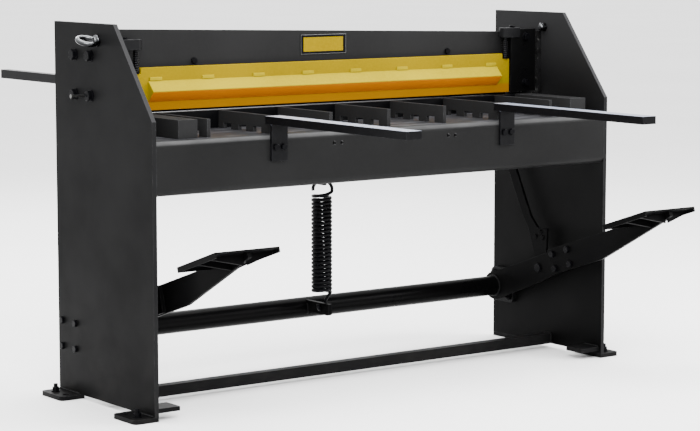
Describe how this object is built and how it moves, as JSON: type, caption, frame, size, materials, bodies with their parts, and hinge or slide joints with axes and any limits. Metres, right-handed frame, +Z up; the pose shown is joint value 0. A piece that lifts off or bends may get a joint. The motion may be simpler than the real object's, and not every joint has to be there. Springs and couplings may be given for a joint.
{
  "type": "foot-operated sheet-metal guillotine shear",
  "caption": "Foot-operated guillotine shear for sheet metal: table, raked upper blade in side guides, sprung hold-down, treadle with return spring, support arms and back gauge.",
  "frame": {"origin": "on the floor, at the centre of the four floor anchor holes", "axes": "+X along the blades to the operator's right, +Y to the rear of the machine, +Z up"},
  "size_m": [1.676, 1.551, 1.012],
  "materials": {
    "dark_powder_coat": "semi-gloss charcoal powder coat",
    "black_satin_paint": "satin black paint",
    "ground_steel": "ground steel",
    "black_oxide_steel": "black oxide",
    "zinc_steel": "zinc plated",
    "chrome_steel": "bright plated",
    "bronze": "turned bronze",
    "yellow_paint": "gloss yellow paint",
    "nameplate_black": "black enamel",
    "knob_plastic": "matt black plastic"
  },
  "bodies": {
    "frame": {"left_side_plate": "dark_powder_coat", "right_side_plate": "dark_powder_coat", "front_beam": "dark_powder_coat", "table_ribs": "dark_powder_coat", "bed_beam": "dark_powder_coat", "lower_blade": "ground_steel", "lower_blade_screws": "black_oxide_steel", "left_side_gauge": "dark_powder_coat", "right_side_gauge": "dark_powder_coat", "side_gauge_screws": "black_oxide_steel", "lower_crossbar": "dark_powder_coat", "outer_foot_plates": "dark_powder_coat", "inner_foot_plates": "dark_powder_coat", "levelling_bolts": "zinc_steel", "guide_rails": "ground_steel", "guide_bolts": "black_oxide_steel", "eye_bolts": "chrome_steel", "gib_screws": "zinc_steel", "bearing_housings": "black_satin_paint", "bearing_bushes": "bronze", "bearing_bolts": "zinc_steel", "spring_anchor": "dark_powder_coat", "left_support_arm": "black_satin_paint", "right_support_arm": "black_satin_paint", "support_arm_bolts": "black_oxide_steel", "main_spring": "black_oxide_steel"},
    "knife": {"knife_beam": "dark_powder_coat", "upper_blade": "ground_steel", "upper_blade_screws": "black_oxide_steel", "slide_blocks": "black_satin_paint", "knife_beam_bolts": "zinc_steel", "spring_brackets": "black_satin_paint", "bracket_screws": "zinc_steel", "hold_down_springs": "black_oxide_steel", "nameplate_frame": "nameplate_black", "nameplate_panel": "yellow_paint", "drop_arms": "black_satin_paint", "upper_link_pins": "ground_steel", "left_gauge_arm": "black_satin_paint", "right_gauge_arm": "black_satin_paint"},
    "hold_down": {"hold_down_plate": "yellow_paint", "hold_down_ridge": "yellow_paint", "hold_down_studs": "black_oxide_steel"},
    "treadle": {"torque_tube": "black_satin_paint", "stub_shafts": "ground_steel", "left_lever": "black_satin_paint", "right_lever": "black_satin_paint", "left_pedal_arm": "black_satin_paint", "right_pedal_arm": "black_satin_paint", "arm_joint_bolts": "black_oxide_steel", "left_pedal": "black_satin_paint", "right_pedal": "black_satin_paint", "spring_lever": "black_satin_paint", "lower_link_pins": "ground_steel"},
    "left_link": {"left_link": "black_satin_paint"},
    "right_link": {"right_link": "black_satin_paint"},
    "back_gauge": {"back_gauge_bar": "black_satin_paint", "gauge_sliders": "black_satin_paint"},
    "left_knob": {"left_gauge_knob": "knob_plastic"},
    "right_knob": {"right_gauge_knob": "knob_plastic"}
  },
  "joints": [
    {"name": "knife_slide", "type": "slide", "parent": "frame", "child": "knife", "axis": [0, 0, -1], "range_m": [0, 0.048], "stiffness_N_per_m": 6000, "springref_m": -0.32},
    {"name": "hold_down_slide", "type": "slide", "parent": "knife", "child": "hold_down", "axis": [0, 0, 1], "range_m": [0, 0.043], "deforming": ["hold_down_springs"]},
    {"name": "treadle_hinge", "type": "hinge", "parent": "frame", "child": "treadle", "pos_m": [0, 0.1905, 0.168], "axis": [1, 0, 0], "range_deg": [0, 11.3], "deforming": ["main_spring"]},
    {"name": "left_link_hinge", "type": "hinge", "parent": "treadle", "child": "left_link", "pos_m": [-0.7306, -0.0195, 0.247], "axis": [1, 0, 0], "range_deg": [-14, 0]},
    {"name": "right_link_hinge", "type": "hinge", "parent": "treadle", "child": "right_link", "pos_m": [0.7306, -0.0195, 0.247], "axis": [1, 0, 0], "range_deg": [-14, 0]},
    {"name": "back_gauge_slide", "type": "slide", "parent": "knife", "child": "back_gauge", "axis": [0, 1, 0], "range_m": [-0.018, 0.502]},
    {"name": "left_knob_hinge", "type": "hinge", "parent": "back_gauge", "child": "left_knob", "pos_m": [-0.676, 0.178, 0.88], "axis": [0, 0, 1], "range_deg": [-360, 0]},
    {"name": "right_knob_hinge", "type": "hinge", "parent": "back_gauge", "child": "right_knob", "pos_m": [0.676, 0.178, 0.88], "axis": [0, 0, 1], "range_deg": [-360, 0]}
  ],
  "couplings": [
    {"joint": "treadle_hinge", "follows": "knife_slide", "rad_per_m": 4.0514},
    {"joint": "left_link_hinge", "follows": "knife_slide", "rad_per_m": -4.8629},
    {"joint": "right_link_hinge", "follows": "knife_slide", "rad_per_m": -4.8629},
    {"joint": "hold_down_slide", "follows": "knife_slide", "ratio": 0.8854}
  ]
}
